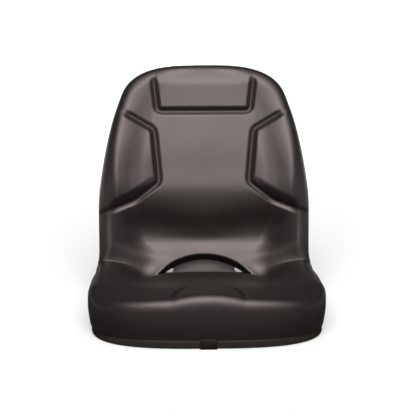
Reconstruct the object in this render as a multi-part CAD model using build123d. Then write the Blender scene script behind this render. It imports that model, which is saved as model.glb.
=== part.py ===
from build123d import *
import os
from math import asin, cos, hypot, pi, radians, sin

os.makedirs("parts", exist_ok=True)

# All sizes in millimetres and degrees. x runs to the right, y to the back, z up, zero at the centre of the four
# mounting holes on the plane that the seat is bolted to.

# Pressed pan: the side view of its upper face
SHEET = 1.2
FLOOR_Z = 20.0
FRONT_Y = -232.0
FLOOR_LENGTH = 347.0
BEND_RADIUS = 125.0
BEND_ANGLE = 78.0
BACK_LENGTH = 423.0

# Pressed pan: half widths of the rim and the roundness of its corners
SEAT_HALF = 256.0
SEAT_WIDE_TO = 180.0
BEND_HALF = 246.0
TOP_HALF = 167.0
FRONT_CORNER = 175.0
TOP_CORNER = 76.0
CORNER_POWER = 3.0
FLANGE_HEIGHT = 16.5
RIM_BEND = 3.0

# Mounting cups, weld nuts and beads of the pan
HOLE_SPACING_X = 285.75
HOLE_SPACING_Y = 292.1
CUP_FACE_R = 24.0
CUP_MOUTH_R = 34.0
CUP_BEND = 4.0
THREAD_R = 3.4
NUT_ACROSS_FLATS = 14.0
NUT_HEIGHT = 6.5
PILOT_R = 5.25
PILOT_PLAY = 0.15
BEAD_DEPTH = 6.0
BEAD_WIDTH = 34.0
BEAD_DRAFT = 35.0
BACK_BEAD_X = 92.0
BACK_BEAD_LENGTH = 250.0
BACK_BEAD_MIDDLE = 215.0
FLOOR_BEAD_LENGTH = 210.0
FLOOR_BEAD_Y = -10.0
FLOOR_BEAD_X = 62.0

# Edge trim and the clip over its joint
TRIM_WALL = 3.0
TRIM_PLAY = 0.3
TRIM_BASE = 1.7
TRIM_ROUND = 1.2
TRIM_GAP_ABOVE = 2.5
TRIM_JOINT_GAP = 2.0
CLIP_WIDTH = 37.0
CLIP_WALL = 2.0
CLIP_BASE = 1.2
CLIP_ABOVE_TRIM = 5.0
CLIP_CORNER = 3.0

# Cushion: play to the pan, the bulge past the rim and the roll of the edge
CUSHION_PLAY = 0.3
UNDERCUT = 4.0
UNDERCUT_RUN = 12.0
END_SHARE = 0.5
BULGE = 9.0
BULGE_LEVEL = 0.35
ROLL = 55.0
ROLL_POWER = 2.3
CREST_INSET = 40.0
SEAT_DISH_HALF = 140.0
BACK_PANEL_HALF = 104.0
HOLLOW_X = 132.0
HOLLOW_WIDTH = 48.0
HOLLOW_DEPTH = 15.0

# Cushion: thickness on the middle line and on the side bolsters, as (place along the spine, thickness)
MIDDLE_LINE = [(-20, 84), (45, 90), (120, 84), (200, 71), (300, 54), (400, 45), (480, 47), (550, 46), (637, 76),
               (746, 72), (843, 70), (890, 72), (970, 62)]
BOLSTER_LINE = [(-20, 76), (60, 85), (150, 90), (260, 94), (347, 84), (432, 74), (520, 88), (600, 104), (680, 112),
                (780, 108), (850, 92), (910, 76), (970, 60)]

# Cushion: drain slot at the bite line and the pressed grooves
SLOT_ANGLE = 51.0
SLOT_WIDTH = 222.0
SLOT_RISE = 51.0
SLOT_BASE = -38.0
DRAIN_X = 91.0
DRAIN_WIDTH = 32.0
DRAIN_HEIGHT = 16.0
DRAIN_ANGLE = 45.0
GROOVE_R = 6.0
GROOVE_LIFT = 1.0
HEADREST_HALF = 112.0
HEADREST_SPLAY = 5.0
HEADREST_DEPTH = 105.5
WING_TOP_OUT = (200.0, 102.0)
WING_TOP_IN = (120.0, 149.0)
WING_LOW_IN = (107.5, 277.0)
WING_LOW_MID = (166.0, 322.0)
WING_LOW_OUT = (230.0, 347.0)
GROOVE_CORNER = 22.0
NOSE_HALF = 78.0
NOSE_REAR = 126.0
NOSE_FRONT = 20.0
NOSE_GROOVE_R = 5.0
NOSE_GROOVE_LIFT = 2.5

BEND_START = FLOOR_LENGTH
BEND_END = FLOOR_LENGTH + BEND_RADIUS * radians(BEND_ANGLE)
SPINE_LENGTH = BEND_END + BACK_LENGTH
BEND_Y = FRONT_Y + FLOOR_LENGTH
BEND_Z = FLOOR_Z + BEND_RADIUS


# Side view of the pan: angle of the sheet, points and directions at a length s from the front rim
def lean(s):
    return radians(BEND_ANGLE) * min(max((s - BEND_START) / (BEND_END - BEND_START), 0.0), 1.0)


def across(s):
    return Vector(0, -sin(lean(s)), cos(lean(s)))


def along(s):
    return Vector(0, cos(lean(s)), sin(lean(s)))


def place(x, s, h):
    a = lean(s)
    y = FRONT_Y + min(s, BEND_START) + BEND_RADIUS * sin(a)
    z = BEND_Z - BEND_RADIUS * cos(a)
    over = max(s - BEND_END, 0.0)
    return Vector(x, y + over * cos(a) - h * sin(a), z + over * sin(a) + h * cos(a))


# Plan of the rim: half width at s, moved outward by an offset
def ease(u):
    u = min(max(u, 0.0), 1.0)
    return u * u * (3.0 - 2.0 * u)


def side_half(s):
    narrow = ease((BEND_START - s) / (BEND_START - SEAT_WIDE_TO))
    taper = max(s - BEND_END, 0.0) / BACK_LENGTH
    return BEND_HALF + (SEAT_HALF - BEND_HALF) * narrow - (BEND_HALF - TOP_HALF) * taper * taper


def corner(depth, radius, offset):
    ratio = (radius - depth) / (radius + offset)
    return max(1.0 - max(ratio, 0.0) ** CORNER_POWER, 0.0) ** (1.0 / CORNER_POWER)


def rim_half(s, offset=0.0):
    ends = corner(s, FRONT_CORNER, offset) * corner(SPINE_LENGTH - s, TOP_CORNER, offset)
    return (side_half(s) + offset) * ends


def edge_distance(x, s):
    low = -min(FRONT_CORNER, TOP_CORNER) + 1.0
    high = BULGE
    for turn in range(40):
        middle = 0.5 * (low + high)
        if rim_half(s, middle) <= abs(x):
            low = middle
        else:
            high = middle
    return -0.5 * (low + high)


# Flat outlines of the floor and of the back, as half outlines of (x, s) from the middle of the end to the bend
CORNER_STEPS = [0.0, 0.16, 0.32, 0.47, 0.6, 0.71, 0.8, 0.87, 0.92, 0.96, 0.985, 1.0]


def corner_depth(share, radius, offset):
    return radius - (radius + offset) * (1.0 - share ** CORNER_POWER) ** (1.0 / CORNER_POWER)


def half_outline(radius, length, offset, from_end):
    points = []
    for share in CORNER_STEPS:
        depth = corner_depth(share, radius, offset)
        points.append(((side_half(from_end(depth)) + offset) * share, from_end(depth)))
    steps = 6
    for i in range(1, steps + 1):
        s = from_end(radius + (length - radius) * i / steps)
        points.append((side_half(s) + offset, s))
    return points


def outline(half, h):
    right = [place(x, s, h) for x, s in reversed(half)]
    left = [place(-x, s, h) for x, s in half[1:]]
    away = along(half[-1][1]) * (-1 if half[0][1] < half[-1][1] else 1)
    return Edge.make_spline(right + left, tangents=[away, away * -1])


def floor_half(offset):
    return half_outline(FRONT_CORNER, FLOOR_LENGTH, offset, lambda depth: depth)


def back_half(offset):
    return half_outline(TOP_CORNER, BACK_LENGTH, offset, lambda depth: SPINE_LENGTH - depth)


def flat_panel(half, low, high):
    curve = outline(half, low)
    face = Face(Wire([curve, Edge.make_line(curve @ 1, curve @ 0)]))
    return Solid.extrude(face, across(half[-1][1]) * (high - low))


def flat_ring(inner_half, outer_half, low, high):
    inner = outline(inner_half, low)
    outer = outline(outer_half, low)
    ends = [Edge.make_line(outer @ 0, inner @ 0), Edge.make_line(outer @ 1, inner @ 1)]
    face = Face(Wire([outer, ends[1], inner, ends[0]]))
    return Solid.extrude(face, across(outer_half[-1][1]) * (high - low))


def bend_strip(x_from, x_to, low, high):
    middle = 0.5 * (BEND_START + BEND_END)
    arcs = []
    for h in (high, low):
        marks = [place(x_from, s, h) for s in (BEND_START, middle, BEND_END)]
        arcs.append(Edge.make_three_point_arc(*marks))
    ends = [Edge.make_line(arcs[0] @ k, arcs[1] @ k) for k in (0, 1)]
    return Solid.extrude(Face(Wire([arcs[0], ends[1], arcs[1], ends[0]])), Vector(x_to - x_from, 0, 0))


def panel(offset, low, high):
    half = BEND_HALF + offset
    body = Part() + flat_panel(floor_half(offset), low, high)
    return body + bend_strip(-half, half, low, high) + flat_panel(back_half(offset), low, high)


def ring(inside, outside, low, high):
    body = Part() + flat_ring(floor_half(inside), floor_half(outside), low, high)
    for i in (-1, 1):
        body = body + bend_strip(i * (BEND_HALF + inside), i * (BEND_HALF + outside), low, high)
    return body + flat_ring(back_half(inside), back_half(outside), low, high)


# Edges of a panel round its rim at one height, picked by their middle points, and the panel with them rounded
def rim_edges(body, offset, h):
    middle = 0.5 * (BEND_START + BEND_END)
    marks = [place(0, -offset, h), place(0, SPINE_LENGTH + offset, h)]
    marks = marks + [place(i * (BEND_HALF + offset), middle, h) for i in (-1, 1)]
    return [e for e in body.edges() if min((e @ 0.5 - m).length for m in marks) < 0.01]


def rounded_rim(body, offset, radius, heights):
    for h in heights:
        body = fillet(rim_edges(body, offset, h), radius)
    return body


def plane_at(s, h):
    return Plane(origin=place(0, s, h), x_dir=(1, 0, 0), z_dir=across(s))


# Pressed pan
CUP_PLACES = [(i * HOLE_SPACING_X / 2, j * HOLE_SPACING_Y / 2) for j in (-1, 1) for i in (-1, 1)]


def cup_cone(grow, floor, top, bend):
    slope = (CUP_MOUTH_R - CUP_FACE_R) / (FLOOR_Z - SHEET)
    low_r = CUP_FACE_R + grow
    high_r = low_r + slope * (top - floor)
    cone = Cone(low_r, high_r, top - floor)
    cone = fillet(cone.edges().filter_by(GeomType.CIRCLE).sort_by(Axis.Z)[0], bend)
    return Pos(0, 0, (floor + top) / 2) * cone


def bead(width, length, depth):
    outline = SlotOverall(length, width)
    return extrude(outline, -depth, taper=BEAD_DRAFT)


def add_bead(body, s, x, length, turn):
    spot = plane_at(s, -SHEET) * Pos(x, 0, 0) * Rot(0, 0, turn)
    body = body + spot * bead(BEAD_WIDTH, length, BEAD_DEPTH)
    hollow = plane_at(s, 0) * Pos(x, 0, 0) * Rot(0, 0, turn)
    return body - hollow * bead(BEAD_WIDTH - SHEET, length - SHEET, BEAD_DEPTH)


def make_pan():
    body = rounded_rim(panel(0, -FLANGE_HEIGHT, 0), 0, RIM_BEND, [0])
    inner = panel(-SHEET, -2 * FLANGE_HEIGHT, -SHEET)
    body = body - rounded_rim(inner, -SHEET, RIM_BEND - SHEET, [-SHEET])
    for x, y in CUP_PLACES:
        body = body + Pos(x, y, 0) * cup_cone(0, 0, FLOOR_Z - SHEET / 2, CUP_BEND)
        body = body - Pos(x, y, 0) * cup_cone(-SHEET, SHEET, FLOOR_Z + SHEET, CUP_BEND - SHEET)
        body = body - Pos(x, y, 0) * Cylinder(PILOT_R + PILOT_PLAY, 4 * SHEET)
    for i in (-1, 1):
        body = add_bead(body, FLOOR_BEAD_Y - FRONT_Y, i * FLOOR_BEAD_X, FLOOR_BEAD_LENGTH, 90)
        body = add_bead(body, BEND_END + BACK_BEAD_MIDDLE, i * BACK_BEAD_X, BACK_BEAD_LENGTH, 90)
    drain_s = BEND_START + BEND_RADIUS * radians(DRAIN_ANGLE)
    for i in (-1, 1):
        hole = extrude(SlotOverall(DRAIN_WIDTH, DRAIN_HEIGHT), 3 * SHEET, both=True)
        body = body - plane_at(drain_s, 0) * Pos(i * DRAIN_X, 0, 0) * hole
    return body


# Weld nuts: a hexagon on the cup face with a pilot in the hole
def make_nut():
    nut = extrude(RegularPolygon(NUT_ACROSS_FLATS / 2, 6, major_radius=False), NUT_HEIGHT)
    nut = nut + Pos(0, 0, -SHEET / 2) * Cylinder(PILOT_R, SHEET)
    return nut - Cylinder(THREAD_R, 4 * NUT_HEIGHT)


# Edge trim: a channel over the flange, cut at the front for its joint
TRIM_TOP = -TRIM_GAP_ABOVE
TRIM_BOTTOM = -FLANGE_HEIGHT - TRIM_PLAY - TRIM_BASE
TRIM_OUT = TRIM_PLAY + TRIM_WALL
TRIM_IN = -SHEET - TRIM_PLAY - TRIM_WALL


def make_trim():
    body = rounded_rim(ring(TRIM_IN, TRIM_OUT, TRIM_BOTTOM, TRIM_TOP), TRIM_OUT, TRIM_ROUND, [TRIM_BOTTOM, TRIM_TOP])
    body = body - ring(-SHEET - TRIM_PLAY, TRIM_PLAY, TRIM_BOTTOM + TRIM_BASE, TRIM_TOP + TRIM_BASE)
    joint = Pos(0, FRONT_Y, FLOOR_Z + (TRIM_TOP + TRIM_BOTTOM) / 2) * Box(TRIM_JOINT_GAP, 40, 60)
    return body - joint


# Clip: a plain channel over the joint of the trim
def make_clip():
    out = TRIM_OUT + TRIM_PLAY + CLIP_WALL
    into = -TRIM_IN + TRIM_PLAY + CLIP_WALL
    low = FLOOR_Z + TRIM_BOTTOM - TRIM_PLAY - CLIP_BASE
    front_top = FLOOR_Z + TRIM_TOP + CLIP_ABOVE_TRIM
    rear_top = FLOOR_Z + TRIM_TOP - CLIP_WALL
    front = Box(CLIP_WIDTH, out + into, front_top - low, align=(Align.CENTER, Align.MIN, Align.MIN))
    front = fillet(front.edges().filter_by(Axis.Y).sort_by(Axis.Z)[2:], CLIP_CORNER)
    body = Pos(0, FRONT_Y - out, low) * front
    cavity = Box(2 * CLIP_WIDTH, out + into - 2 * CLIP_WALL, 100, align=(Align.CENTER, Align.MIN, Align.MIN))
    body = body - Pos(0, FRONT_Y - out + CLIP_WALL, low + CLIP_BASE) * cavity
    trim_back = Box(2 * CLIP_WIDTH, 100, 100, align=(Align.CENTER, Align.MIN, Align.MIN))
    return body - Pos(0, FRONT_Y, rear_top) * trim_back


# Cushion: thickness over the pan and the profile of its rolled edge
def level(points, s):
    if s <= points[0][0]:
        return points[0][1]
    for (s0, h0), (s1, h1) in zip(points, points[1:]):
        if s <= s1:
            return h0 + (h1 - h0) * ease((s - s0) / (s1 - s0))
    return points[-1][1]


def smooth_level(points, s):
    spread = 14.0
    steps = [-1.5, -0.75, 0.0, 0.75, 1.5]
    return sum(level(points, s + spread * k) for k in steps) / len(steps)


def thickness(x, s):
    dish = SEAT_DISH_HALF + (BACK_PANEL_HALF - SEAT_DISH_HALF) * ease((s - BEND_START) / (BEND_END - BEND_START))
    crest = max(rim_half(s) - CREST_INSET, dish + 20.0)
    rise = ease((abs(x) - dish) / (crest - dish))
    middle = smooth_level(MIDDLE_LINE, s)
    hollow = HOLLOW_DEPTH * ease((s - 120) / 220) * ease((BEND_END - s) / 90)
    hollow = hollow * 2.718 ** (-((abs(x) - HOLLOW_X) / HOLLOW_WIDTH) ** 2)
    return middle + (smooth_level(BOLSTER_LINE, s) - middle) * rise - hollow


def roll_up(d):
    inward = min(max((ROLL - d) / (ROLL + BULGE), 0.0), 1.0)
    return BULGE_LEVEL + (1.0 - BULGE_LEVEL) * (1.0 - inward ** ROLL_POWER) ** (1.0 / ROLL_POWER)


def tuck_under(d):
    share = min(max((1.0 - d) / (BULGE + 1.0), 0.0), 1.0)
    return BULGE_LEVEL * asin(share) / (pi / 2)


def surface(x, s):
    return CUSHION_PLAY + roll_up(edge_distance(x, s)) * thickness(x, s)


TOP_STEPS = 13
END_SHARES = [0.14, 0.21, 0.28, 0.35, 0.42, 0.49, 0.56, 0.63, 0.7, 0.77, 0.84, 0.9, 0.95, 0.985]
UNDER_STEPS = 3


def half_section(s):
    wide = rim_half(s, BULGE)
    inside = min(s, SPINE_LENGTH - s)
    under = max(rim_half(s, -1.0), END_SHARE * wide)
    sink = UNDERCUT * ease(inside / UNDERCUT_RUN)
    points = []
    for i in range(UNDER_STEPS):
        x = under + (wide - under) * sin(pi / 2 * i / UNDER_STEPS)
        low = sink if i == 0 else 0.0
        points.append((x, CUSHION_PLAY + tuck_under(edge_distance(x, s)) * thickness(x, s) - low))
    for i in range(TOP_STEPS, -1, -1):
        x = wide * sin(pi / 2 * i / TOP_STEPS)
        points.append((x, surface(x, s)))
    return points


def section_steps(half):
    run = [0.0]
    whole = half + [(-x, h) for x, h in reversed(half[:-1])]
    for (x0, h0), (x1, h1) in zip(whole, whole[1:]):
        run.append(run[-1] + hypot(x1 - x0, h1 - h0))
    return [r / run[-1] for r in run]


def section(s, steps):
    half = half_section(s)
    points = [place(x, s, h) for x, h in half]
    points = points + [place(-x, s, h) for x, h in reversed(half[:-1])]
    curve = Edge.make_spline(points, parameters=steps)
    return Wire([curve, Edge.make_line(points[-1], points[0])])


def stations():
    front = [corner_depth(q, FRONT_CORNER, BULGE) for q in END_SHARES]
    front = front + [145.0, SEAT_WIDE_TO, 220.0, 260.0, 300.0]
    bend = [BEND_START + (BEND_END - BEND_START) * k / 8 for k in range(9)]
    top = [corner_depth(q, TOP_CORNER, BULGE) for q in END_SHARES]
    top = top + [72.0, 105.0, 140.0, 175.0, 210.0, 245.0, 280.0, 310.0, 340.0, 370.0, 398.0]
    return front + bend + [SPINE_LENGTH - t for t in reversed(top)]


# Grooves: round channels swept along lines on the surface
def rounded(points, radius):
    out = [points[0]]
    for before, here, after in zip(points, points[1:], points[2:]):
        legs = []
        for other in (before, after):
            length = hypot(other[0] - here[0], other[1] - here[1])
            share = min(radius / length, 0.5)
            legs.append([h + (o - h) * share for h, o in zip(here, other)])
        middle = [0.25 * (a + b) + 0.5 * h for a, b, h in zip(legs[0], legs[1], here)]
        out = out + [legs[0], middle, legs[1]]
    return out + [points[-1]]


def groove(points, radius, lift):
    path = Edge.make_spline([place(x, s, surface(x, s) + lift) for x, s in points])
    start = Plane(origin=path @ 0, z_dir=path % 0)
    return sweep(start * Circle(radius), path=path)


def spaced(points, step):
    out = []
    for (x0, s0), (x1, s1) in zip(points, points[1:]):
        count = max(1, round(hypot(x1 - x0, s1 - s0) / step))
        out = out + [(x0 + (x1 - x0) * k / count, s0 + (s1 - s0) * k / count) for k in range(count)]
    return out + [points[-1]]


def groove_lines():
    top = SPINE_LENGTH
    low = top - HEADREST_DEPTH
    wide = HEADREST_HALF + HEADREST_SPLAY
    lines = [[(-wide, top - 12), (-HEADREST_HALF, low), (HEADREST_HALF, low), (wide, top - 12)]]
    for i in (-1, 1):
        wing = [WING_TOP_OUT, WING_TOP_IN, WING_LOW_IN, WING_LOW_MID, WING_LOW_OUT]
        lines.append([(i * x, top - t) for x, t in wing])
    return lines


def nose_line():
    turns = [radians(180 * k / 12) for k in range(13)]
    return [(NOSE_HALF * cos(a), NOSE_FRONT + (NOSE_REAR - NOSE_FRONT) * sin(a) ** 0.8) for a in turns]


def make_cushion():
    steps = section_steps(half_section(SEAT_WIDE_TO))
    body = Part() + Solid.make_loft([section(s, steps) for s in stations()])
    body = (body - panel(4 * BULGE, -5 * UNDERCUT, CUSHION_PLAY)).fix()
    for line in groove_lines():
        body = body - groove(spaced(rounded(line, GROOVE_CORNER), 30.0), GROOVE_R, GROOVE_LIFT)
    body = body - groove(nose_line(), NOSE_GROOVE_R, NOSE_GROOVE_LIFT)
    slot_plane = Plane(origin=(0, BEND_Y, BEND_Z), x_dir=(1, 0, 0),
                       z_dir=(0, -sin(radians(SLOT_ANGLE)), cos(radians(SLOT_ANGLE))))
    left = Vector(-SLOT_WIDTH / 2, SLOT_BASE)
    right = Vector(SLOT_WIDTH / 2, SLOT_BASE)
    arch = Edge.make_three_point_arc(left, Vector(0, SLOT_BASE + SLOT_RISE), right)
    crescent = Face(Wire([arch, Edge.make_line(right, left)]))
    return body - slot_plane * Solid.extrude(crescent, Vector(0, 0, -2 * BEND_RADIUS))


export_step(make_pan(), "parts/seat_pan.step")
nuts = Compound(children=[Pos(x, y, SHEET) * make_nut() for x, y in CUP_PLACES])
export_step(nuts, "parts/mounting_nuts.step")
export_step(make_trim(), "parts/edge_trim.step")
export_step(make_clip(), "parts/trim_joint_clip.step")
export_step(make_cushion(), "parts/cushion.step")
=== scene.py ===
import bpy
import bmesh
import math
import numpy as np
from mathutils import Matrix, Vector


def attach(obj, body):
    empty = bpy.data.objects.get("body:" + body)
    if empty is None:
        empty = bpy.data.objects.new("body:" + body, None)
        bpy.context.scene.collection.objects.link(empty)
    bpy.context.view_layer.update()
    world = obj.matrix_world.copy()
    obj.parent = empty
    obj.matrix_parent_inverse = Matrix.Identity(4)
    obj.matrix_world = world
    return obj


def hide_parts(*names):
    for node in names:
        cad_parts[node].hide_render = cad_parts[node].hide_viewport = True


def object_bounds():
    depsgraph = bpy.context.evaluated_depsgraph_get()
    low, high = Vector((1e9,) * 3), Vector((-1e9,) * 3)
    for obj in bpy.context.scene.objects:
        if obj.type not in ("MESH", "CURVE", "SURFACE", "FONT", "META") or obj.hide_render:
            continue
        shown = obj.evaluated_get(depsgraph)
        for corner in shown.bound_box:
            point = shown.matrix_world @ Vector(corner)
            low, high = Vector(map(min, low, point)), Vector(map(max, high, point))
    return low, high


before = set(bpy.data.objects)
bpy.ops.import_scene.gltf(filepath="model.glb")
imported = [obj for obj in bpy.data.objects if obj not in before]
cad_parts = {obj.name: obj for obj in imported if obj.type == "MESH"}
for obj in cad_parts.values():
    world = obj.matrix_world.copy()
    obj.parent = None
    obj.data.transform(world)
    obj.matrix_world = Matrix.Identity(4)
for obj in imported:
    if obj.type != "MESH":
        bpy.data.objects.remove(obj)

cad_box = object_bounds()

# All sizes in millimetres and degrees; meshes are made in metres
MM = 0.001

# Pressed pan that the cushion lies on: side view and plan of its rim
SHEET = 1.2
FLOOR_Z = 20.0
FRONT_Y = -232.0
FLOOR_LENGTH = 347.0
BEND_RADIUS = 125.0
BEND_ANGLE = 78.0
BACK_LENGTH = 423.0
SEAT_HALF = 256.0
SEAT_WIDE_TO = 180.0
BEND_HALF = 246.0
TOP_HALF = 167.0
FRONT_CORNER = 175.0
TOP_CORNER = 76.0
CORNER_POWER = 3.0
FLANGE_HEIGHT = 16.5

# Edge trim, its ribs and the clip over its joint
TRIM_WALL = 3.0
TRIM_PLAY = 0.3
TRIM_BASE = 1.7
TRIM_GAP_ABOVE = 2.5
TRIM_JOINT_GAP = 2.0
RIB_PITCH = 3.0
RIB_DEPTH = 0.8
TRIM_END_LIFT = 1.6
TRIM_LIFT_FROM = 36.0
TRIM_LIFT_RUN = 14.0
CLIP_WIDTH = 37.0
CLIP_WALL = 2.0
CLIP_BASE = 1.2
CLIP_ABOVE_TRIM = 5.0
CLIP_CORNER = 3.0
CLIP_EDGE = 0.55

# Cushion: fullness, edge rolls, bolsters, and thickness lines as (place along the spine, thickness)
CUSHION_PLAY = 0.5
BULGE = 9.0
BULGE_LEVEL = 0.5
TUCK_IN = 4.5
SEAT_FULLNESS = 2.0
REAR_FULLNESS = 4.5
BACK_FULLNESS = 4.5
SEAT_FULL_END = 470.0
REAR_FULL_START = 180.0
REAR_FULL_RUN = 110.0
REAR_FULL_END = 480.0
FULLNESS_FADE = 90.0
BACK_FULL_RUN = 130.0
BACK_FULL_BELOW_TOP = 20.0
ROLL = 38.0
ROLL_POWER = 2.8
FRONT_ROLL = 32.0
FRONT_ROLL_POWER = 4.1
BACK_ROLL = 22.0
TOP_ROLL = 31.0
BACK_ROLL_POWER = 2.6
ROLL_CHANGE_START = 60.0
ROLL_CHANGE_RUN = 160.0
TOP_ROLL_DEPTH = 90.0
TOP_ROLL_RUN = 60.0
FRONT_LEVEL = 94.0
FRONT_SAG = 14.0
FRONT_SAG_AT = 200.0
FRONT_BLEND_START = 40.0
FRONT_BLEND_RUN = 100.0
SEAT_CREST_INSET = 12.0
BACK_CREST_INSET = 21.0
DISH_HALF = 148.0
DISH_NARROWING = 36.0
DISH_NARROW_AT = 462.0
DISH_NARROW_RUN = 62.0
LUMBAR_DROP = 14.0
LUMBAR_HALF = 95.0
LUMBAR_START = 505.0
LUMBAR_START_RUN = 40.0
LUMBAR_END = 650.0
LUMBAR_END_RUN = 70.0
SEAT_BOLSTER_RUN = 88.0
BACK_BOLSTER_RUN = 68.0
BACK_CHANGE_START = 60.0
BACK_CHANGE_RUN = 100.0
RAMP_SOFT = 0.25
BACK_RAMP_SOFTER = 0.25
BACK_CREST_EASE = 0.55
HOLLOW_X = 132.0
HOLLOW_WIDTH = 48.0
HOLLOW_DEPTH = 20.0
HOLLOW_START = 120.0
HOLLOW_START_RUN = 220.0
HOLLOW_BEFORE_BACK = 45.0
HOLLOW_END_RUN = 80.0
MIDDLE_LINE = [(-20, 84), (45, 90), (120, 84), (200, 71), (300, 54), (400, 44), (460, 43), (500, 40),
               (530, 35), (550, 37), (575, 52), (600, 70), (622, 80), (648, 83), (690, 79), (746, 75),
               (800, 69), (843, 64), (890, 61), (970, 56)]
SEAT_BOLSTER = [(-20, 84), (60, 87), (120, 89), (200, 87), (300, 80), (347, 77), (360, 76)]
BACK_BOLSTER = [(500, 82), (517, 84), (560, 85), (600, 88), (640, 96), (690, 98), (750, 94), (800, 85),
                (845, 75), (890, 67), (970, 58)]
FOLD_SOFT = 0.7
FOLD_STEEPEST = 82.0

# Cushion: drain slot, pressed grooves with a bead in each, nose panel
SLOT_ANGLE = 51.0
SLOT_WIDTH = 222.0
SLOT_RISE = 51.0
SLOT_LIP_RISE = 46.4
SLOT_LIP_REACH = 82.0
SLOT_BASE = -38.0
SLOT_ROUND_SEAT = 10.0
SLOT_ROUND_BACK = 5.0
GROOVE_HALF = 11.0
GROOVE_DEPTH = 6.5
BEAD_R = 1.3
BEAD_STEP = 3.0
BEAD_SINK = 2.5
BEAD_SINK_RUN = 16.0
HEADREST_HALF = 112.0
HEADREST_SPLAY = 10.0
HEADREST_DEPTH = 105.5
WING_TOP_OUT = (192.0, 107.0)
WING_TOP_IN = (120.0, 149.0)
WING_LOW_IN = (107.5, 277.0)
WING_LOW_MID = (166.0, 322.0)
WING_LOW_OUT = (226.0, 345.0)
GROOVE_CORNER = 13.0
GROOVE_FADE = 22.0
HEADREST_END = 21.0
PAD_RUN = 13.0
HEADREST_RISE = 5.0
HEADREST_TOP_END = 8.0
HEADREST_TOP_RUN = 34.0
WING_RISE = 4.0
WING_LOW_RISE = 11.0
WING_LOW_RUN = 24.0
WING_LOW_SOFT = 8.0
SWELL_IN = 90.0
SWELL_IN_RUN = 80.0
SWELL_OUT = 205.0
SWELL_OUT_RUN = 30.0
SWELL_HEIGHT = 40.0
SWELL_HEIGHT_RUN = 130.0
NOSE_HALF = 78.0
NOSE_REAR = 132.0
NOSE_FRONT = 10.0
NOSE_POWER = 1.5
NOSE_GROOVE_HALF = 9.0
NOSE_GROOVE_DEPTH = 9.0
NOSE_RISE = 8.0
NOSE_RUN = 40.0
SKIN_STEP = 2.8
ROLL_STEPS = 28
TUCK_STEPS = 9

BEND_START = FLOOR_LENGTH
BEND_END = FLOOR_LENGTH + BEND_RADIUS * math.radians(BEND_ANGLE)
SPINE_LENGTH = BEND_END + BACK_LENGTH
BEND_Y = FRONT_Y + FLOOR_LENGTH
BEND_Z = FLOOR_Z + BEND_RADIUS


# Side view of the pan: a point over it at x across, s along the spine and h above the sheet
def ease(u):
    u = np.clip(u, 0.0, 1.0)
    return u * u * (3.0 - 2.0 * u)


def place(x, s, h):
    turn = math.radians(BEND_ANGLE) * np.clip((s - BEND_START) / (BEND_END - BEND_START), 0.0, 1.0)
    over = np.maximum(s - BEND_END, 0.0)
    y = FRONT_Y + np.minimum(s, BEND_START) + (BEND_RADIUS - h) * np.sin(turn) + over * np.cos(turn)
    z = BEND_Z - (BEND_RADIUS - h) * np.cos(turn) + over * np.sin(turn)
    return np.stack([x + 0 * s, y + 0 * x, z + 0 * x], axis=-1) * MM


# Plan of the rim: half width at s moved outward by an offset, and the distance of a point from the rim
def side_half(s):
    narrow = ease((BEND_START - s) / (BEND_START - SEAT_WIDE_TO))
    taper = np.maximum(s - BEND_END, 0.0) / BACK_LENGTH
    return BEND_HALF + (SEAT_HALF - BEND_HALF) * narrow - (BEND_HALF - TOP_HALF) * taper * taper


# The cushion stands a little fuller than the rim along its sides
def skin_half(s):
    seat = SEAT_FULLNESS * ease((SEAT_FULL_END - s) / FULLNESS_FADE)
    rear = REAR_FULLNESS * ease((s - REAR_FULL_START) / REAR_FULL_RUN)
    rear = rear * ease((REAR_FULL_END - s) / FULLNESS_FADE)
    back = BACK_FULLNESS * ease((s - BEND_END) / BACK_FULL_RUN)
    back = back * ease((SPINE_LENGTH - BACK_FULL_BELOW_TOP - s) / BACK_FULL_RUN)
    return side_half(s) + seat + rear + back


def corner(depth, radius, offset):
    ratio = np.maximum((radius - depth) / (radius + offset), 0.0)
    return np.maximum(1.0 - ratio ** CORNER_POWER, 0.0) ** (1.0 / CORNER_POWER)


def rim_half(s, offset):
    ends = corner(s, FRONT_CORNER, offset) * corner(SPINE_LENGTH - s, TOP_CORNER, offset)
    return (skin_half(s) + offset) * ends


def edge_distance(x, s):
    low = np.full_like(x, -min(FRONT_CORNER, TOP_CORNER) + 1.0)
    high = np.full_like(x, BULGE)
    for turn in range(34):
        middle = 0.5 * (low + high)
        inside = rim_half(s, middle) <= np.abs(x)
        low = np.where(inside, middle, low)
        high = np.where(inside, high, middle)
    return -0.5 * (low + high)


# Thickness of the foam over the pan
def level(points, s):
    at, high = np.array(points, float).T
    slope = np.zeros_like(high)
    slope[1:-1] = (high[2:] - high[:-2]) / (at[2:] - at[:-2])
    k = np.clip(np.searchsorted(at, s) - 1, 0, len(points) - 2)
    run = at[k + 1] - at[k]
    u = np.clip((s - at[k]) / run, 0.0, 1.0)
    bend = u * (1.0 - u) ** 2 * slope[k] * run - u * u * (1.0 - u) * slope[k + 1] * run
    return high[k] + (high[k + 1] - high[k]) * ease(u) + bend


def smooth_level(points, s):
    spread = 14.0
    steps = [-1.5, -0.75, 0.0, 0.75, 1.5]
    return sum(level(points, s + spread * k) for k in steps) / len(steps)


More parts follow.
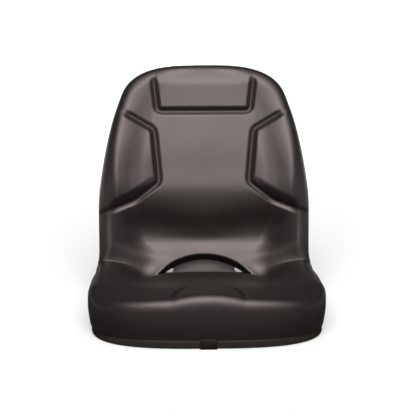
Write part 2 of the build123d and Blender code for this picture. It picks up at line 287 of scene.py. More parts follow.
# Two flat faces of the side bolsters, run on into the bend until they meet in a fold
def folded(s):
    turn = math.radians(BEND_ANGLE) * np.clip((s - BEND_START) / (BEND_END - BEND_START), 0.0, 1.0)
    seat_face = smooth_level(SEAT_BOLSTER, s)
    back_face = smooth_level(BACK_BOLSTER, s)
    faces = []
    whole = math.radians(BEND_ANGLE)
    ends = ((SEAT_BOLSTER, BEND_START, -1.0, turn), (BACK_BOLSTER, BEND_END, 1.0, whole - turn))
    for points, end, outward, away in ends:
        thick = smooth_level(points, end)
        rise = smooth_level(points, end + 1.0) - smooth_level(points, end - 1.0)
        tilt = math.atan(outward * rise / 2.0)
        lean = np.minimum(away + tilt, math.radians(FOLD_STEEPEST))
        reach = (BEND_RADIUS - thick) * math.cos(tilt) / np.cos(lean)
        faces.append(BEND_RADIUS - reach)
    seat_face = np.where(s > BEND_START, faces[0], seat_face)
    back_face = np.where(s < BEND_END, faces[1], back_face)
    return FOLD_SOFT * np.logaddexp(seat_face / FOLD_SOFT, back_face / FOLD_SOFT)


def thickness(x, s):
    on_back = ease((s - BEND_START - BACK_CHANGE_START) / BACK_CHANGE_RUN)
    inset = SEAT_CREST_INSET + (BACK_CREST_INSET - SEAT_CREST_INSET) * on_back
    run = SEAT_BOLSTER_RUN + (BACK_BOLSTER_RUN - SEAT_BOLSTER_RUN) * on_back
    crest = np.maximum(rim_half(s, 0.0) - inset, run + 1.0)
    dish = np.minimum(DISH_HALF, crest - run)
    dish = dish - DISH_NARROWING * np.exp(-((s - DISH_NARROW_AT) / DISH_NARROW_RUN) ** 2)
    ramp = np.clip((np.abs(x) - dish) / (crest - dish), 0.0, 1.0)
    soft = RAMP_SOFT + BACK_RAMP_SOFTER * on_back
    rise = np.where(ramp < soft, ramp * ramp / (2.0 * soft), ramp - soft / 2.0) / (1.0 - soft / 2.0)
    rise = rise + BACK_CREST_EASE * on_back * (ease(ramp) - rise)
    lower = LUMBAR_DROP * np.exp(-(x / LUMBAR_HALF) ** 2)
    lower = lower * ease((s - LUMBAR_START) / LUMBAR_START_RUN) * ease((LUMBAR_END - s) / LUMBAR_END_RUN)
    middle = smooth_level(MIDDLE_LINE, s + lower)
    hollow = HOLLOW_DEPTH * ease((s - HOLLOW_START) / HOLLOW_START_RUN)
    hollow = hollow * ease((BEND_END - HOLLOW_BEFORE_BACK - s) / HOLLOW_END_RUN)
    hollow = hollow * np.exp(-((np.abs(x) - HOLLOW_X) / HOLLOW_WIDTH) ** 2)
    body = middle + (folded(s) - middle) * rise - hollow
    front = FRONT_LEVEL - FRONT_SAG * (x / FRONT_SAG_AT) ** 2
    return front + (body - front) * ease((s - FRONT_BLEND_START) / FRONT_BLEND_RUN)


def roll_up(d, s):
    share = ease((s - ROLL_CHANGE_START) / ROLL_CHANGE_RUN)
    on_back = ease((s - BEND_START) / (BEND_END - BEND_START))
    roll = FRONT_ROLL + (ROLL - FRONT_ROLL) * share + (BACK_ROLL - ROLL) * on_back
    roll = roll + (TOP_ROLL - BACK_ROLL) * ease((s - SPINE_LENGTH + TOP_ROLL_DEPTH) / TOP_ROLL_RUN)
    power = FRONT_ROLL_POWER + (ROLL_POWER - FRONT_ROLL_POWER) * share
    power = power + (BACK_ROLL_POWER - ROLL_POWER) * on_back
    inward = np.clip((roll - d) / (roll + BULGE), 0.0, 1.0)
    return BULGE_LEVEL + (1.0 - BULGE_LEVEL) * (1.0 - inward ** power) ** (1.0 / power)


def tuck_under(offset):
    share = np.clip((offset - TUCK_IN) / (BULGE - TUCK_IN), 0.0, 1.0)
    return BULGE_LEVEL * np.arcsin(share) / (math.pi / 2)


# Lines of the pressed grooves on the plan, with rounded corners
def rounded(points, radius):
    out = [points[0]]
    for before, here, after in zip(points, points[1:], points[2:]):
        legs = []
        for other in (before, after):
            length = math.dist(here, other)
            share = min(radius / length, 0.5)
            legs.append([h + (o - h) * share for h, o in zip(here, other)])
        for k in range(7):
            t = k / 6
            first, middle, last = (1 - t) ** 2, 2 * t * (1 - t), t * t
            out.append([first * a + middle * h + last * b for a, h, b in zip(legs[0], here, legs[1])])
    return np.array(out + [points[-1]])


def headrest_line():
    top = SPINE_LENGTH - HEADREST_END
    low = SPINE_LENGTH - HEADREST_DEPTH
    wide = HEADREST_HALF + HEADREST_SPLAY
    return rounded([(-wide, top), (-HEADREST_HALF, low), (HEADREST_HALF, low), (wide, top)], GROOVE_CORNER)


def wing_corners(side):
    corners = [WING_TOP_OUT, WING_TOP_IN, WING_LOW_IN, WING_LOW_MID, WING_LOW_OUT]
    return [(side * x, SPINE_LENGTH - t) for x, t in corners]


def groove_lines():
    return [headrest_line()] + [rounded(wing_corners(side), GROOVE_CORNER) for side in (-1, 1)]


def nose_line():
    turns = np.radians(np.linspace(0.0, 180.0, 37))
    s = NOSE_FRONT + (NOSE_REAR - NOSE_FRONT) * np.sin(turns) ** NOSE_POWER
    return np.stack([NOSE_HALF * np.cos(turns), s], axis=-1)


# Distance of points from a line, how far along it they are, and the pressed channel that follows it
def line_distance(x, s, line):
    best = np.full_like(x, 1e6)
    run = np.zeros_like(x)
    done = 0.0
    for (x0, s0), (x1, s1) in zip(line, line[1:]):
        length = max(math.hypot(x1 - x0, s1 - s0), 1e-6)
        share = np.clip(((x - x0) * (x1 - x0) + (s - s0) * (s1 - s0)) / length ** 2, 0.0, 1.0)
        here = np.hypot(x - x0 - share * (x1 - x0), s - s0 - share * (s1 - s0))
        run = np.where(here < best, done + share * length, run)
        best = np.minimum(best, here)
        done = done + length
    return best, np.minimum(run, done - run)


def pressed(x, s, line, half, depth, fade):
    distance, from_end = line_distance(x, s, line)
    u = np.clip(distance / half, 0.0, 1.0)
    return depth * (1.0 - u ** 1.7) ** 2 * ease(0.15 + from_end / fade)


# Raised pads inside the headrest line, outside the wing lines and inside the nose line
def pads(x, s):
    above = s - SPINE_LENGTH + HEADREST_DEPTH
    half = HEADREST_HALF + HEADREST_SPLAY * above / (HEADREST_DEPTH - HEADREST_END)
    inside = np.minimum(above, half - np.abs(x))
    raised = HEADREST_RISE * ease(inside / PAD_RUN)
    raised = raised * ease((SPINE_LENGTH - HEADREST_TOP_END - s) / HEADREST_TOP_RUN)
    corners = wing_corners(1)
    edges = []
    for (x0, s0), (x1, s1) in zip(corners, corners[1:]):
        length = math.hypot(x1 - x0, s1 - s0)
        edges.append(((x1 - x0) * (s - s0) - (s1 - s0) * (np.abs(x) - x0)) / length)
    low = -WING_LOW_SOFT * np.logaddexp(-edges[-2] / WING_LOW_SOFT, -edges[-1] / WING_LOW_SOFT)
    across = ease((np.abs(x) - SWELL_IN) / SWELL_IN_RUN)
    across = across * (1.0 - ease((np.abs(x) - SWELL_OUT) / SWELL_OUT_RUN))
    swell = WING_LOW_RISE * across * ease(low / WING_LOW_RUN)
    swell = swell * (1.0 - ease((low - SWELL_HEIGHT) / SWELL_HEIGHT_RUN))
    raised = raised + WING_RISE * ease(np.minimum.reduce(edges) / PAD_RUN)
    raised = raised + swell * ease(edges[1] / PAD_RUN)
    share = np.clip(1.0 - (x / NOSE_HALF) ** 2, 0.0, 1.0)
    inside = NOSE_FRONT + (NOSE_REAR - NOSE_FRONT) * share ** (NOSE_POWER / 2) - s
    return raised + NOSE_RISE * ease(inside / NOSE_RUN) * share


# Drain slot: distance of points outside its crescent, seen along the slot, and the edge rolled down into it
def slot_radius(rise):
    return (SLOT_WIDTH ** 2 / 4 + rise ** 2) / (2 * rise)


def slot_sides(x, v):
    radius = slot_radius(SLOT_LIP_RISE)
    return np.hypot(x, v - SLOT_BASE - SLOT_LIP_RISE + radius) - radius, SLOT_BASE - v


def slot_roll(x, s, h):
    spot = place(x, s, h) / MM
    a = math.radians(SLOT_ANGLE)
    v = (spot[..., 1] - BEND_Y) * math.cos(a) + (spot[..., 2] - BEND_Z) * math.sin(a)
    arch, base = slot_sides(x, v)
    near = (s > BEND_START - 60.0) & (s < BEND_END + 30.0)
    away = np.where(near, np.maximum(arch, base), 1e6)
    rounding = np.where(base > arch, SLOT_ROUND_SEAT, SLOT_ROUND_BACK)
    inward = np.clip((rounding - away) / rounding, 0.0, 1.0)
    return rounding * (1.0 - np.sqrt(1.0 - inward ** 2))


def surface(x, s):
    h = CUSHION_PLAY + roll_up(edge_distance(x, s), s) * (thickness(x, s) + pads(x, s))
    for line in groove_lines():
        h = h - pressed(x, s, line, GROOVE_HALF, GROOVE_DEPTH, GROOVE_FADE)
    h = h - pressed(x, s, nose_line(), NOSE_GROOVE_HALF, NOSE_GROOVE_DEPTH, GROOVE_FADE)
    return h - slot_roll(x, s, h)


# Mesh helpers
def new_piece(name, points, faces, material, sharp=None):
    mesh = bpy.data.meshes.new(name)
    mesh.from_pydata([tuple(p) for p in points], [], faces)
    mesh.validate()
    work = bmesh.new()
    work.from_mesh(mesh)
    bmesh.ops.recalc_face_normals(work, faces=work.faces)
    work.to_mesh(mesh)
    work.free()
    piece = bpy.data.objects.new(name, mesh)
    bpy.context.scene.collection.objects.link(piece)
    mesh.shade_smooth()
    if sharp is not None:
        mesh.set_sharp_from_angle(angle=math.radians(sharp))
    mesh.materials.append(material)
    return piece


def grid_faces(rows, columns, first=0, closed=False):
    faces = []
    for r in range(rows - 1):
        for c in range(columns if closed else columns - 1):
            a = first + r * columns + c
            b = first + r * columns + (c + 1) % columns
            faces.append((a, b, b + columns, a + columns))
    return faces


# Shader groups
def group_with(name, inputs, outputs):
    group = bpy.data.node_groups.new(name, "ShaderNodeTree")
    for label, kind, value in inputs:
        socket = group.interface.new_socket(label, in_out="INPUT", socket_type=kind)
        socket.default_value = value
    for label, kind in outputs:
        group.interface.new_socket(label, in_out="OUTPUT", socket_type=kind)
    return group, group.nodes.new("NodeGroupInput"), group.nodes.new("NodeGroupOutput")


def maths(tree, operation, a, b):
    node = tree.nodes.new("ShaderNodeMath")
    node.operation = operation
    for socket, value in zip(node.inputs, (a, b)):
        if isinstance(value, (int, float)):
            socket.default_value = value
        else:
            tree.links.new(value, socket)
    return node.outputs[0]


def noise(tree, place_at, scale, detail):
    node = tree.nodes.new("ShaderNodeTexNoise")
    node.inputs["Detail"].default_value = detail
    tree.links.new(place_at, node.inputs["Vector"])
    if isinstance(scale, (int, float)):
        node.inputs["Scale"].default_value = scale
    else:
        tree.links.new(scale, node.inputs["Scale"])
    return node.outputs["Fac"]


# Handling marks: broad cloudy change of colour and of roughness
def make_cloudy():
    group, given, out = group_with("Cloudy finish", [
        ("Colour", "NodeSocketColor", (0.05, 0.05, 0.05, 1.0)), ("Roughness", "NodeSocketFloat", 0.5),
        ("Cloud scale", "NodeSocketFloat", 12.0), ("Colour change", "NodeSocketFloat", 0.2),
        ("Roughness change", "NodeSocketFloat", 0.1)],
        [("Colour", "NodeSocketColor"), ("Roughness", "NodeSocketFloat")])
    spot = group.nodes.new("ShaderNodeTexCoord").outputs["Object"]
    broad = noise(group, spot, given.outputs["Cloud scale"], 4.0)
    fine = noise(group, spot, maths(group, "MULTIPLY", given.outputs["Cloud scale"], 23.0), 3.0)
    cloud = maths(group, "ADD", maths(group, "MULTIPLY", broad, 0.7), maths(group, "MULTIPLY", fine, 0.3))
    swing = maths(group, "SUBTRACT", maths(group, "MULTIPLY", cloud, 2.0), 1.0)
    gain = maths(group, "ADD", maths(group, "MULTIPLY", swing, given.outputs["Colour change"]), 1.0)
    scaled = group.nodes.new("ShaderNodeVectorMath")
    scaled.operation = "SCALE"
    group.links.new(given.outputs["Colour"], scaled.inputs[0])
    group.links.new(gain, scaled.inputs["Scale"])
    group.links.new(scaled.outputs[0], out.inputs["Colour"])
    rough = maths(group, "MULTIPLY", swing, given.outputs["Roughness change"])
    group.links.new(maths(group, "ADD", given.outputs["Roughness"], rough), out.inputs["Roughness"])
    return group


# Pebble grain: rounded cells with fine creases between them, and a softer waviness under them
def make_pebble():
    group, given, out = group_with("Pebble grain", [
        ("Cell scale", "NodeSocketFloat", 700.0), ("Crease", "NodeSocketFloat", 0.6),
        ("Wave scale", "NodeSocketFloat", 60.0), ("Wave", "NodeSocketFloat", 0.5)],
        [("Height", "NodeSocketFloat")])
    spot = group.nodes.new("ShaderNodeTexCoord").outputs["Object"]
    cells = group.nodes.new("ShaderNodeTexVoronoi")
    cells.feature = "DISTANCE_TO_EDGE"
    group.links.new(spot, cells.inputs["Vector"])
    group.links.new(given.outputs["Cell scale"], cells.inputs["Scale"])
    creases = maths(group, "MINIMUM", maths(group, "MULTIPLY", cells.outputs["Distance"], 4.0), 1.0)
    fine = noise(group, spot, maths(group, "MULTIPLY", given.outputs["Cell scale"], 0.6), 4.0)
    wave = noise(group, spot, given.outputs["Wave scale"], 2.0)
    height = maths(group, "ADD", maths(group, "MULTIPLY", creases, given.outputs["Crease"]), fine)
    height = maths(group, "ADD", height, maths(group, "MULTIPLY", wave, given.outputs["Wave"]))
    group.links.new(height, out.inputs["Height"])
    return group


CLOUDY = make_cloudy()
PEBBLE = make_pebble()


# One finish: colour and roughness with clouds, pebble grain as relief, and gloss
def finish(name, colour, roughness, cloudy, pebble, bump, specular, metallic=0.0,
           gloss_tint=(1.0, 1.0, 1.0)):
    material = bpy.data.materials.new(name)
    material.use_nodes = True
    tree = material.node_tree
    shader = tree.nodes["Principled BSDF"]
    shader.inputs["Specular IOR Level"].default_value = specular
    shader.inputs["Specular Tint"].default_value = (*gloss_tint, 1.0)
    shader.inputs["Metallic"].default_value = metallic
    cloud = tree.nodes.new("ShaderNodeGroup")
    cloud.node_tree = CLOUDY
    cloud.inputs["Colour"].default_value = (*colour, 1.0)
    cloud.inputs["Roughness"].default_value = roughness
    for label, value in zip(("Cloud scale", "Colour change", "Roughness change"), cloudy):
        cloud.inputs[label].default_value = value
    tree.links.new(cloud.outputs["Colour"], shader.inputs["Base Color"])
    tree.links.new(cloud.outputs["Roughness"], shader.inputs["Roughness"])
    grain = tree.nodes.new("ShaderNodeGroup")
    grain.node_tree = PEBBLE
    for label, value in zip(("Cell scale", "Crease", "Wave scale", "Wave"), pebble):
        grain.inputs[label].default_value = value
    relief = tree.nodes.new("ShaderNodeBump")
    relief.inputs["Strength"].default_value = bump[0]
    relief.inputs["Distance"].default_value = bump[1] * MM
    tree.links.new(grain.outputs["Height"], relief.inputs["Height"])
    tree.links.new(relief.outputs["Normal"], shader.inputs["Normal"])
    return material


WARM_GLOSS = (1.0, 0.868, 0.83)
VINYL = finish("grained_vinyl", (0.0098, 0.0076, 0.0066), 0.41, (9.0, 0.25, 0.08), (650.0, 0.7, 45.0, 0.8),
               (0.3, 0.25), 0.95, gloss_tint=WARM_GLOSS)
# Bead vinyl painted several times lighter than the cushion vinyl: a painted highlight along the groove
# beads
BEAD = finish("vinyl_bead_painted_highlight", (0.06, 0.053, 0.048), 0.42, (30.0, 0.2, 0.06), (900.0, 0.4, 90.0, 0.4),
              (0.2, 0.15), 0.8, gloss_tint=WARM_GLOSS)
# Slot wall finish: darker and duller than the vinyl, painted shade on the walls of the drain slot
SLOT_WALL_PAINTED_SHADE = finish("slot_wall_painted_shade", (0.007, 0.0055, 0.0045), 0.85, (20.0, 0.3, 0.05),
                   (900.0, 0.6, 80.0, 0.5), (0.4, 0.3), 0.3)
TRIM = finish("ribbed_trim", (0.018, 0.0145, 0.0095), 0.5, (14.0, 0.3, 0.1), (1400.0, 0.4, 120.0, 0.6),
              (0.3, 0.12), 0.6, gloss_tint=WARM_GLOSS)
CLIP = finish("smooth_clip", (0.009, 0.0055, 0.005), 0.45, (25.0, 0.3, 0.08), (1600.0, 0.3, 150.0, 0.5),
              (0.2, 0.1), 0.5, gloss_tint=WARM_GLOSS)
PAINT = finish("pan_powder_coat", (0.068, 0.061, 0.056), 0.4, (10.0, 0.25, 0.1), (420.0, 0.5, 60.0, 0.8),
               (0.3, 0.2), 0.8, gloss_tint=WARM_GLOSS)
ZINC = finish("zinc_plating", (0.56, 0.56, 0.54), 0.36, (60.0, 0.18, 0.12), (1500.0, 0.3, 300.0, 0.6),
              (0.25, 0.1), 0.5, 1.0)


# Cushion skin: a rectangular net of points drawn into the round ends of the plan
def spread(start, end, step):
    return np.linspace(start, end, max(2, round(abs(end - start) / step) + 1))


def net_shares():
    turns = np.linspace(0.0, math.pi / 2, ROLL_STEPS)
    roll = (ROLL + BULGE) * (1.0 - np.cos(turns))
    half = SEAT_HALF + BULGE
    right = np.concatenate([spread(0.0, half - ROLL - BULGE, SKIN_STEP)[:-1], half - roll[::-1]]) / half
    across = np.concatenate([-right[:0:-1], right])
    front = np.concatenate([roll, spread(ROLL + BULGE, FRONT_CORNER + BULGE, SKIN_STEP)[1:]])
    front = (FRONT_CORNER + BULGE - front) / (FRONT_CORNER + BULGE)
    side = spread(FRONT_CORNER, SPINE_LENGTH - TOP_CORNER, SKIN_STEP)[1:-1]
    top = np.concatenate([roll, spread(ROLL + BULGE, TOP_CORNER + BULGE, SKIN_STEP)[1:]])
    top = (TOP_CORNER + BULGE - top[::-1]) / (TOP_CORNER + BULGE)
    return across, front, side, top


def drawn_in(u, v):
    most = np.maximum(np.abs(u), v)
    power = (np.abs(u) ** CORNER_POWER + v ** CORNER_POWER) ** (1.0 / CORNER_POWER)
    return most / np.maximum(power, 1e-9)


def net_plan(u, row, shares, offset):
    across, front, side, top = shares
    if row < len(front):
        k = drawn_in(u, front[row])
        s = FRONT_CORNER - (FRONT_CORNER + offset) * front[row] * k
    elif row < len(front) + len(side):
        k = np.ones_like(u)
        s = np.full_like(u, side[row - len(front)])
    else:
        v = top[row - len(front) - len(side)]
        k = drawn_in(u, v)
        s = SPINE_LENGTH - TOP_CORNER + (TOP_CORNER + offset) * v * k
    return (skin_half(s) + offset) * u * k, s


def cushion_mesh():
    shares = net_shares()
    across = shares[0]
    rows = sum(len(part) for part in shares[1:])
    columns = len(across)
    plan = [net_plan(across, row, shares, BULGE) for row in range(rows)]
    x = np.array([p[0] for p in plan])
    s = np.array([p[1] for p in plan])
    points = [place(x, s, surface(x, s)).reshape(-1, 3)]
    faces = grid_faces(rows, columns)
    ring = [(0, c) for c in range(columns)] + [(r, columns - 1) for r in range(1, rows)]
    ring = ring + [(rows - 1, c) for c in range(columns - 2, -1, -1)]
    ring = ring + [(r, 0) for r in range(rows - 2, 0, -1)]
    before = [r * columns + c for r, c in ring]
    count = rows * columns
    edge_thickness = thickness(np.array([x[q] for q in ring]), np.array([s[q] for q in ring]))
    for step in range(1, TUCK_STEPS + 1):
        offset = TUCK_IN + (BULGE - TUCK_IN) * math.cos(math.pi / 2 * step / TUCK_STEPS)
        spots = [net_plan(across[c:c + 1], r, shares, offset) for r, c in ring]
        ring_x = np.array([p[0][0] for p in spots])
        ring_s = np.array([p[1][0] for p in spots])
        points.append(place(ring_x, ring_s, CUSHION_PLAY + tuck_under(offset) * edge_thickness))
        now = list(range(count, count + len(ring)))
        for k in range(len(ring)):
            n = (k + 1) % len(ring)
            faces.append((before[n], before[k], now[k], now[n]))
        before = now
        count = count + len(ring)
    at = dict(zip(ring, before))
    faces.append([at[(0, c)] for c in range(columns)] + [at[(1, columns - 1)], at[(1, 0)]])
    for r in range(1, rows - 2):
        faces.append([at[(r, 0)], at[(r, columns - 1)], at[(r + 1, columns - 1)], at[(r + 1, 0)]])
    last = [at[(rows - 1, c)] for c in range(columns - 1, -1, -1)]
    faces.append([at[(rows - 2, 0)], at[(rows - 2, columns - 1)]] + last)
    return np.concatenate(points), faces


# Drain slot cut through the cushion; the cut walls take the block's darker finish as painted shade
def slot_block():
    a = math.radians(SLOT_ANGLE)
    points = []
    for reach in (10.0, 2 * BEND_RADIUS):
        beyond = reach - SLOT_LIP_REACH
        rise = SLOT_LIP_RISE + (SLOT_RISE - SLOT_LIP_RISE) * beyond / (BEND_RADIUS - SLOT_LIP_REACH)
        radius = slot_radius(rise)
        half = math.asin(SLOT_WIDTH / 2 / radius)
        for q in np.linspace(-half, half, 73):
            v = SLOT_BASE + rise - radius + radius * math.cos(q)
            y = BEND_Y + v * math.cos(a) + reach * math.sin(a)
            z = BEND_Z + v * math.sin(a) - reach * math.cos(a)
            points.append((radius * math.sin(q) * MM, y * MM, z * MM))
    count = len(points) // 2
    faces = [list(range(count)), list(range(2 * count - 1, count - 1, -1))]
    for k in range(count):
        n = (k + 1) % count
        faces.append((n, k, count + k, count + n))
    return new_piece("slot_block", points, faces, SLOT_WALL_PAINTED_SHADE)


def cut_slot(piece):
    block = slot_block()
    cut = piece.modifiers.new("slot", "BOOLEAN")
    cut.operation = "DIFFERENCE"
    cut.solver = "EXACT"
    # The cut walls take the block's finish, which paints shade into the slot
    cut.material_mode = "TRANSFER"
    cut.object = block
    mesh = bpy.data.meshes.new_from_object(piece.evaluated_get(bpy.context.evaluated_depsgraph_get()))
    piece.modifiers.clear()
    piece.data = mesh
    mesh.shade_smooth()
    mesh.set_sharp_from_angle(angle=math.radians(50.0))
    work = bmesh.new()
    work.from_mesh(mesh)
    for edge in work.edges:
        if len({face.material_index for face in edge.link_faces}) > 1:
            edge.smooth = False
    work.to_mesh(mesh)
    work.free()
    bpy.data.objects.remove(block)


points, faces = cushion_mesh()
cushion = new_piece("cushion_skin", points, faces, VINYL)
cut_slot(cushion)
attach(cushion, "root")
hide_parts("cushion")


# Tube round a run of points
def tube(path, radius, sides):
    ahead = np.gradient(path, axis=0)
    ahead = ahead / np.linalg.norm(ahead, axis=1, keepdims=True)
    up = np.array([0.0, -1.0, 0.3])
    sideways = np.cross(ahead, up)
    sideways = sideways / np.linalg.norm(sideways, axis=1, keepdims=True)
    upward = np.cross(sideways, ahead)
    turns = np.linspace(0.0, 2 * math.pi, sides, endpoint=False)
    rings = [path + radius * (math.cos(q) * sideways + math.sin(q) * upward) for q in turns]
    faces = grid_faces(len(path), sides, closed=True)
    faces.append(list(range(sides)))
    faces.append(list(range((len(path) - 1) * sides, len(path) * sides)))
    return np.stack(rings, axis=1).reshape(-1, 3), faces


# Beads at the bottom of the pressed grooves, in a vinyl painted lighter than the cushion as a painted
# highlight
def resampled(line, step):
    lengths = np.concatenate([[0.0], np.cumsum(np.hypot(*np.diff(line, axis=0).T))])
    marks = np.linspace(0.0, lengths[-1], round(lengths[-1] / step) + 1)
    return np.stack([np.interp(marks, lengths, line[:, k]) for k in (0, 1)], axis=-1), marks, lengths[-1]


for name, line in zip(("headrest_bead", "left_wing_bead", "right_wing_bead"), groove_lines()):
    spots, marks, whole = resampled(line, BEAD_STEP)
    sink = BEAD_SINK * (1.0 - ease(np.minimum(marks, whole - marks) / BEAD_SINK_RUN))
    x, s = spots[:, 0], spots[:, 1]
    points, faces = tube(place(x, s, surface(x, s) - sink), BEAD_R * MM, 8)
    bead = new_piece(name, points, faces, BEAD)
    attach(bead, "root")


# Edge trim: a ribbed channel run round the rim from one side of the joint to the other
TRIM_TOP = -TRIM_GAP_ABOVE
TRIM_BOTTOM = -FLANGE_HEIGHT - TRIM_PLAY - TRIM_BASE
TRIM_OUT = TRIM_PLAY + TRIM_WALL
TRIM_IN = -SHEET - TRIM_PLAY - TRIM_WALL
RIB_STEPS = 4


def rim_plan(t, offset):
    q = 2.0 / CORNER_POWER
    front = np.radians(90.0 * np.clip(t, 0.0, 1.0))
    top = np.radians(90.0 * np.clip(t - 2.0, 0.0, 1.0))
    side = FRONT_CORNER + (SPINE_LENGTH - FRONT_CORNER - TOP_CORNER) * np.clip(t - 1.0, 0.0, 1.0)
    s = side - (FRONT_CORNER + offset) * np.cos(front) ** q * (t < 1.0)
    s = s + (TOP_CORNER + offset) * np.sin(top) ** q
    share = np.where(t < 1.0, np.sin(front) ** q, np.maximum(np.cos(top), 0.0) ** q)
    return (side_half(s) + offset) * share, s


def rim_steps(step):
    t = np.linspace(0.0, 3.0, 9001)
    x, s = rim_plan(t, 0.0)
    steps = np.linalg.norm(np.diff(place(x, s, 0.0 * x), axis=0), axis=1)
    lengths = np.concatenate([[0.0], np.cumsum(steps)])
    start = TRIM_JOINT_GAP / 2 * MM
    marks = np.linspace(start, lengths[-1], round((lengths[-1] - start) / (step * MM)) + 1)
    return np.interp(marks, lengths, t), marks / MM


def trim_profile():
    low, high = TRIM_BOTTOM, TRIM_TOP
    slot_low = low + TRIM_BASE
    outer = [(TRIM_PLAY, high, 0), (TRIM_OUT - 1.1, high, 0), (TRIM_OUT - 0.3, high - 0.4, 0.5),
             (TRIM_OUT, high - 1.3, 1), (TRIM_OUT, (high + low) / 2, 1), (TRIM_OUT, low + 1.6, 1),
             (TRIM_OUT - 0.4, low + 0.5, 0.5)]
    inner = [(TRIM_OUT - 1.4, low, 0), (TRIM_IN + 1.2, low, 0), (TRIM_IN, low + 1.2, 0),
             (TRIM_IN, high - 1.0, 0), (TRIM_IN + 1.0, high, 0), (-SHEET - TRIM_PLAY, high, 0)]
    return outer + inner + [(-SHEET - TRIM_PLAY, slot_low, 0), (TRIM_PLAY, slot_low, 0)]


def trim_mesh():
    t, run = rim_steps(RIB_PITCH / RIB_STEPS)
    profile = trim_profile()
    rib = 0.5 - 0.5 * np.cos(2 * math.pi * np.arange(len(t)) / RIB_STEPS)
    lift = TRIM_END_LIFT * ease((TRIM_LIFT_FROM - run) / TRIM_LIFT_RUN)
    rows = []
    for side in (1, -1):
        lines = []
        for offset, h, ribbed in profile:
            x, s = rim_plan(t, offset - ribbed * RIB_DEPTH * (1.0 - rib))
            near_top = 1.0 if h > TRIM_TOP - 0.5 else 0.0
            lines.append(place(side * x, s, h + near_top * lift))
        rows.append(np.stack(lines, axis=1))
    rows = np.concatenate([rows[0], rows[1][-2::-1]])
    count = len(profile)
    faces = grid_faces(len(rows), count, closed=True)
    faces.append(list(range(count)))
    faces.append(list(range(len(rows) * count - 1, (len(rows) - 1) * count - 1, -1)))
    return rows.reshape(-1, 3), faces


points, faces = trim_mesh()
trim = new_piece("ribbed_edge_trim", points, faces, TRIM, 60.0)
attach(trim, "root")
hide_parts("edge_trim")


# Clip over the joint of the trim: a channel with rounded front corners and eased edges
def clip_mesh():
    out = TRIM_OUT + TRIM_PLAY + CLIP_WALL
    into = -TRIM_IN + TRIM_PLAY + CLIP_WALL
    low = FLOOR_Z + TRIM_BOTTOM - TRIM_PLAY - CLIP_BASE
    front_top = FLOOR_Z + TRIM_TOP + CLIP_ABOVE_TRIM
    rear_top = FLOOR_Z + TRIM_TOP - CLIP_WALL
    front, rear = FRONT_Y - out, FRONT_Y + into
    outline = [(front, low), (rear, low), (rear, rear_top), (rear - CLIP_WALL, rear_top)]
    outline = outline + [(rear - CLIP_WALL, low + CLIP_BASE), (front + CLIP_WALL, low + CLIP_BASE)]
    outline = outline + [(front + CLIP_WALL, front_top), (front, front_top)]
    work = bmesh.new()
    rows = []
    for x in (-CLIP_WIDTH / 2, CLIP_WIDTH / 2):
        rows.append([work.verts.new((x * MM, y * MM, z * MM)) for y, z in outline])
    count = len(outline)
    for k in range(count):
        n = (k + 1) % count
        work.faces.new((rows[0][k], rows[0][n], rows[1][n], rows[1][k]))
    work.faces.new(rows[0][::-1])
    work.faces.new(rows[1])
    bmesh.ops.recalc_face_normals(work, faces=work.faces)
    tops = [e for e in work.edges if min(v.co.z for v in e.verts) > (front_top - 0.1) * MM
            and abs(e.verts[0].co.x - e.verts[1].co.x) < 1e-6]
    bmesh.ops.bevel(work, geom=tops, offset=CLIP_CORNER * MM, segments=6, profile=0.5, affect="EDGES")
    hard = [e for e in work.edges if len(e.link_faces) == 2 and e.calc_face_angle() > math.radians(40)]
    bmesh.ops.bevel(work, geom=hard, offset=CLIP_EDGE * MM, segments=3, profile=0.5, affect="EDGES")
    mesh = bpy.data.meshes.new("trim_clip")
    work.to_mesh(mesh)
    work.free()
    mesh.shade_smooth()
    mesh.set_sharp_from_angle(angle=math.radians(40.0))
    mesh.materials.append(CLIP)
    return mesh


clip = bpy.data.objects.new("trim_clip", clip_mesh())
bpy.context.scene.collection.objects.link(clip)
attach(clip, "root")
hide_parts("trim_joint_clip")


# Floor, light and camera
def make_floor():
    size = 400.0
    mesh = bpy.data.meshes.new("floor")
    corners = [(-size, -size), (size, -size), (size, size), (-size, size)]
    mesh.from_pydata([(x, y, cad_box[0].z) for x, y in corners], [], [(0, 1, 2, 3)])
    floor = bpy.data.objects.new("floor", mesh)
    bpy.context.scene.collection.objects.link(floor)
    material = bpy.data.materials.new("pale_floor")
    material.use_nodes = True
    tree = material.node_tree
    tree.nodes.remove(tree.nodes["Principled BSDF"])
    rays = tree.nodes.new("ShaderNodeLightPath")
    seen = maths(tree, "MAXIMUM", rays.outputs["Is Camera Ray"], rays.outputs["Is Glossy Ray"])
    seen = maths(tree, "MAXIMUM", seen, rays.outputs["Is Transmission Ray"])
    shaders = []
    for albedo in (0.35, 0.88):
        shade = tree.nodes.new("ShaderNodeBsdfDiffuse")
        shade.inputs["Color"].default_value = (albedo, albedo, albedo, 1.0)
        shaders.append(shade.outputs[0])
    glow = tree.nodes.new("ShaderNodeEmission")
    glow.inputs["Strength"].default_value = 0.32
    pale = tree.nodes.new("ShaderNodeAddShader")
    tree.links.new(shaders[1], pale.inputs[0])
    tree.links.new(glow.outputs[0], pale.inputs[1])
    mix = tree.nodes.new("ShaderNodeMixShader")
    tree.links.new(seen, mix.inputs[0])
    tree.links.new(shaders[0], mix.inputs[1])
    tree.links.new(pale.outputs[0], mix.inputs[2])
    tree.links.new(mix.outputs[0], tree.nodes["Material Output"].inputs["Surface"])
    mesh.materials.append(material)


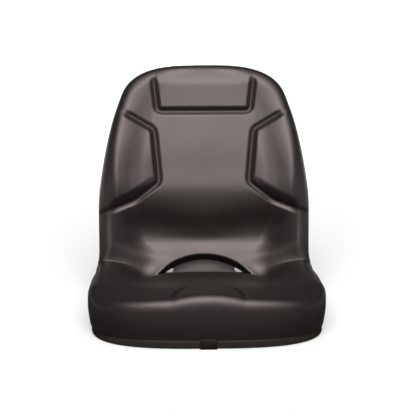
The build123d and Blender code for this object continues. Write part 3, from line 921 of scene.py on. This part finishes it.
# Dark card on the floor that keeps the bounce of the pale floor off the object, out of the camera's sight
def add_flag():
    size = 1.6
    mesh = bpy.data.meshes.new("dark_card")
    corners = [(-size, -size), (size, -size), (size, size), (-size, size)]
    mesh.from_pydata([(x, y, cad_box[0].z + 0.0005) for x, y in corners], [], [(0, 1, 2, 3)])
    card = bpy.data.objects.new("dark_card", mesh)
    bpy.context.scene.collection.objects.link(card)
    card.visible_camera = False
    card.visible_shadow = False
    material = bpy.data.materials.new("dark_card")
    material.use_nodes = True
    material.node_tree.nodes["Principled BSDF"].inputs["Base Color"].default_value = (0.04, 0.04, 0.04, 1.0)
    material.node_tree.nodes["Principled BSDF"].inputs["Roughness"].default_value = 0.9
    mesh.materials.append(material)


def add_sun(name, azimuth, elevation, strength, spread_angle):
    lamp = bpy.data.lights.new(name, "SUN")
    lamp.energy = strength
    lamp.angle = math.radians(spread_angle)
    sun = bpy.data.objects.new(name, lamp)
    a, e = math.radians(azimuth), math.radians(elevation)
    towards = Vector((math.sin(a) * math.cos(e), -math.cos(a) * math.cos(e), math.sin(e)))
    sun.rotation_euler = towards.to_track_quat("Z", "Y").to_euler()
    bpy.context.scene.collection.objects.link(sun)


def add_camera(azimuth, elevation, distance, target, lens, shift):
    a, e = math.radians(azimuth), math.radians(elevation)
    back = Vector((math.sin(a) * math.cos(e), -math.cos(a) * math.cos(e), math.sin(e)))
    data = bpy.data.cameras.new("camera")
    data.lens = lens
    data.sensor_width = 36.0
    data.shift_x, data.shift_y = shift
    camera = bpy.data.objects.new("camera", data)
    camera.location = Vector(target) + back * distance
    camera.rotation_euler = back.to_track_quat("Z", "Y").to_euler()
    bpy.context.scene.collection.objects.link(camera)
    bpy.context.scene.camera = camera


make_floor()
add_flag()
add_sun("front_light", -3.0, 39.0, 2.3, 50.0)
add_sun("side_light", 40.0, 38.0, 0.3, 50.0)
add_sun("rear_light", 180.0, 6.0, 0.8, 3.0)
add_sun("top_light", 0.0, 68.0, 1.3, 60.0)
world = bpy.data.worlds.new("studio")
bpy.context.scene.world = world
world.use_nodes = True
world.node_tree.nodes["Background"].inputs["Color"].default_value = (1.0, 1.0, 1.0, 1.0)
world.node_tree.nodes["Background"].inputs["Strength"].default_value = 0.055
add_camera(-1.4, 13.0, 3.0, (0.0, 0.0, 0.25), 114.12, (2.0 / 416, 3.2 / 416))
bpy.context.scene.view_settings.view_transform = "Standard"

for node, material in (("seat_pan", PAINT), ("mounting_nuts", ZINC)):
    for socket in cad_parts[node].material_slots:
        socket.material = material
